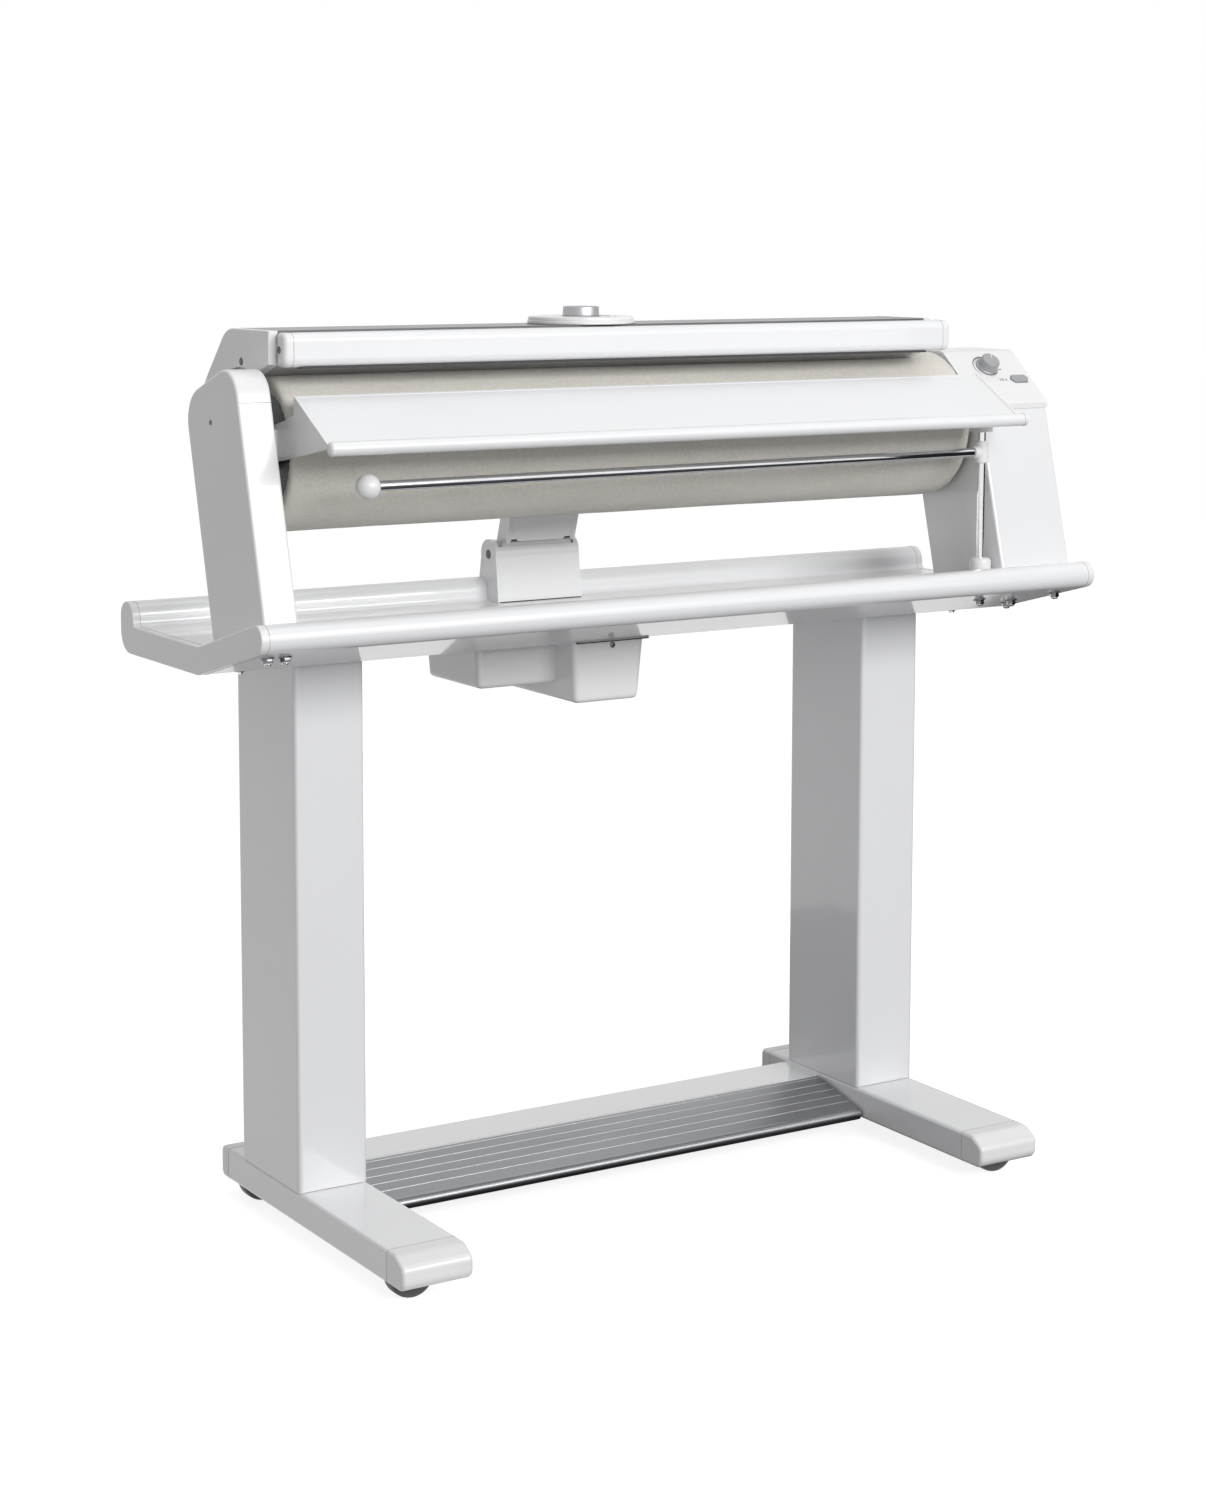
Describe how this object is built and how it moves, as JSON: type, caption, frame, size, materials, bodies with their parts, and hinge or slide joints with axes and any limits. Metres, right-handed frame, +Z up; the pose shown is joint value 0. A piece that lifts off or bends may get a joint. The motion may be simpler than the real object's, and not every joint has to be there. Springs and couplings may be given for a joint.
{
  "type": "flatwork ironer",
  "caption": "White free-standing rotary ironer with a padded roller under a lifting heated shoe, feed board, laundry rod and foot pedal.",
  "frame": {"origin": "on the floor, under the middle of the bounding box", "axes": "+X along the roller towards the control housing, -Y towards the operator, +Z up"},
  "size_m": [1, 0.4108, 0.9399],
  "materials": {
    "white_paint": "gloss",
    "white_plastic": "gloss",
    "grey_plastic": "matte",
    "black_plastic": "matte",
    "grey_metal": "satin",
    "chrome": "polished",
    "steel": "satin",
    "aluminium": "satin",
    "iron_casting": "matte",
    "cloth": "matte",
    "padding": "matte",
    "belt_rubber": "matte",
    "wheel_rubber": "matte"
  },
  "bodies": {
    "frame": {"foot_tube_left": "white_paint", "foot_tube_right": "white_paint", "foot_caps_front": "white_plastic", "foot_caps_rear": "white_plastic", "wheel_axles": "steel", "column_left": "white_paint", "column_right": "white_paint", "column_plates": "steel", "cross_member": "white_paint", "pedal_hinge_rod": "steel", "tray_shell": "white_paint", "tray_end_caps": "white_plastic", "chassis_rail": "steel", "tray_bolts": "chrome", "pillar_left": "white_plastic", "housing_right": "white_paint", "control_panel": "white_plastic", "panel_controls": "black_plastic", "bearing_plates": "steel", "roller_bearings": "steel", "drive_motor": "grey_metal", "drive_belt": "belt_rubber", "hinge_bracket": "white_paint", "hinge_pin": "steel", "lift_gearmotor": "grey_metal", "drive_box_cover": "white_plastic", "feed_board": "white_paint", "feed_arms": "white_plastic", "post": "chrome", "post_fittings": "white_plastic", "pillar_screw": "black_plastic", "cable_gland": "black_plastic"},
    "roller": {"roller_tube": "steel", "roller_ends": "iron_casting", "roller_padding": "padding", "roller_cloth": "cloth", "roller_pulley": "black_plastic"},
    "motor_rotor": {"motor_pulley": "steel"},
    "heater": {"heating_shoe": "aluminium", "heating_elements": "steel", "heater_cover": "grey_metal", "heater_caps": "white_plastic", "thermostat": "black_plastic", "temperature_dial": "white_plastic", "lift_arm": "white_paint", "arm_cover": "white_plastic"},
    "temperature_knob_turn": {"temperature_knob": "aluminium"},
    "finger_guard": {"guard_bar": "white_paint", "guard_caps": "white_plastic"},
    "speed_knob_turn": {"speed_knob": "grey_plastic"},
    "power_rocker": {"power_switch": "grey_plastic"},
    "pedal": {"foot_pedal": "aluminium"},
    "lift_crank_disc": {"lift_crank": "steel"},
    "laundry_rod_arm": {"rod_holder": "white_plastic", "laundry_rod": "chrome", "ball_end": "white_plastic"},
    "wheel_fl": {"wheel_front_left": "wheel_rubber"},
    "wheel_fr": {"wheel_front_right": "wheel_rubber"},
    "wheel_rl": {"wheel_rear_left": "wheel_rubber"},
    "wheel_rr": {"wheel_rear_right": "wheel_rubber"}
  },
  "joints": [
    {"name": "roller_spin", "type": "hinge", "parent": "frame", "child": "roller", "pos_m": [0, 0.0104, 0.8047], "axis": [1, 0, 0], "continuous": true},
    {"name": "motor_spin", "type": "hinge", "parent": "frame", "child": "motor_rotor", "pos_m": [0.437, -0.044, 0.7], "axis": [1, 0, 0], "continuous": true},
    {"name": "heater_lift", "type": "hinge", "parent": "frame", "child": "heater", "pos_m": [0, 0.148, 0.671], "axis": [-1, 0, 0], "range_deg": [0, 8]},
    {"name": "lift_crank_turn", "type": "hinge", "parent": "frame", "child": "lift_crank_disc", "pos_m": [-0.033, 0.1353, 0.56], "axis": [1, 0, 0], "range_deg": [0, 180]},
    {"name": "finger_guard_tilt", "type": "hinge", "parent": "heater", "child": "finger_guard", "pos_m": [0, -0.0635, 0.9044], "axis": [1, 0, 0], "range_deg": [0, 5], "stiffness_Nm_per_rad": 6, "springref_deg": -2.86},
    {"name": "temperature_turn", "type": "hinge", "parent": "heater", "child": "temperature_knob_turn", "pos_m": [-0.072, -0.0095, 0.93], "axis": [0, 0, 1], "range_deg": [0, 270]},
    {"name": "speed_turn", "type": "hinge", "parent": "frame", "child": "speed_knob_turn", "pos_m": [0.4405, -0.0333, 0.86583], "axis": [0, -0.649, 0.7608], "range_deg": [0, 270]},
    {"name": "power_rock", "type": "hinge", "parent": "frame", "child": "power_rocker", "pos_m": [0.4745, -0.04787, 0.85209], "axis": [0, 0.7608, 0.649], "range_deg": [0, 8]},
    {"name": "pedal_press", "type": "hinge", "parent": "frame", "child": "pedal", "pos_m": [0, 0.09, 0.038], "axis": [1, 0, 0], "range_deg": [0, 4], "stiffness_Nm_per_rad": 20, "springref_deg": -2.86},
    {"name": "rod_swing", "type": "hinge", "parent": "frame", "child": "laundry_rod_arm", "pos_m": [0.381, -0.1, 0.779], "axis": [0, 0, 1], "range_deg": [-3, 110]},
    {"name": "wheel_fl_spin", "type": "hinge", "parent": "frame", "child": "wheel_fl", "pos_m": [-0.3585, -0.1635, 0.0247], "axis": [0, 1, 0], "continuous": true},
    {"name": "wheel_fr_spin", "type": "hinge", "parent": "frame", "child": "wheel_fr", "pos_m": [0.3585, -0.1635, 0.0247], "axis": [0, 1, 0], "continuous": true},
    {"name": "wheel_rl_spin", "type": "hinge", "parent": "frame", "child": "wheel_rl", "pos_m": [-0.3585, 0.1665, 0.0247], "axis": [0, 1, 0], "continuous": true},
    {"name": "wheel_rr_spin", "type": "hinge", "parent": "frame", "child": "wheel_rr", "pos_m": [0.3585, 0.1665, 0.0247], "axis": [0, 1, 0], "continuous": true}
  ],
  "couplings": [
    {"joint": "motor_spin", "follows": "roller_spin", "ratio": 2.0909},
    {"joint": "lift_crank_turn", "follows": "heater_lift", "ratio": 22.5}
  ]
}
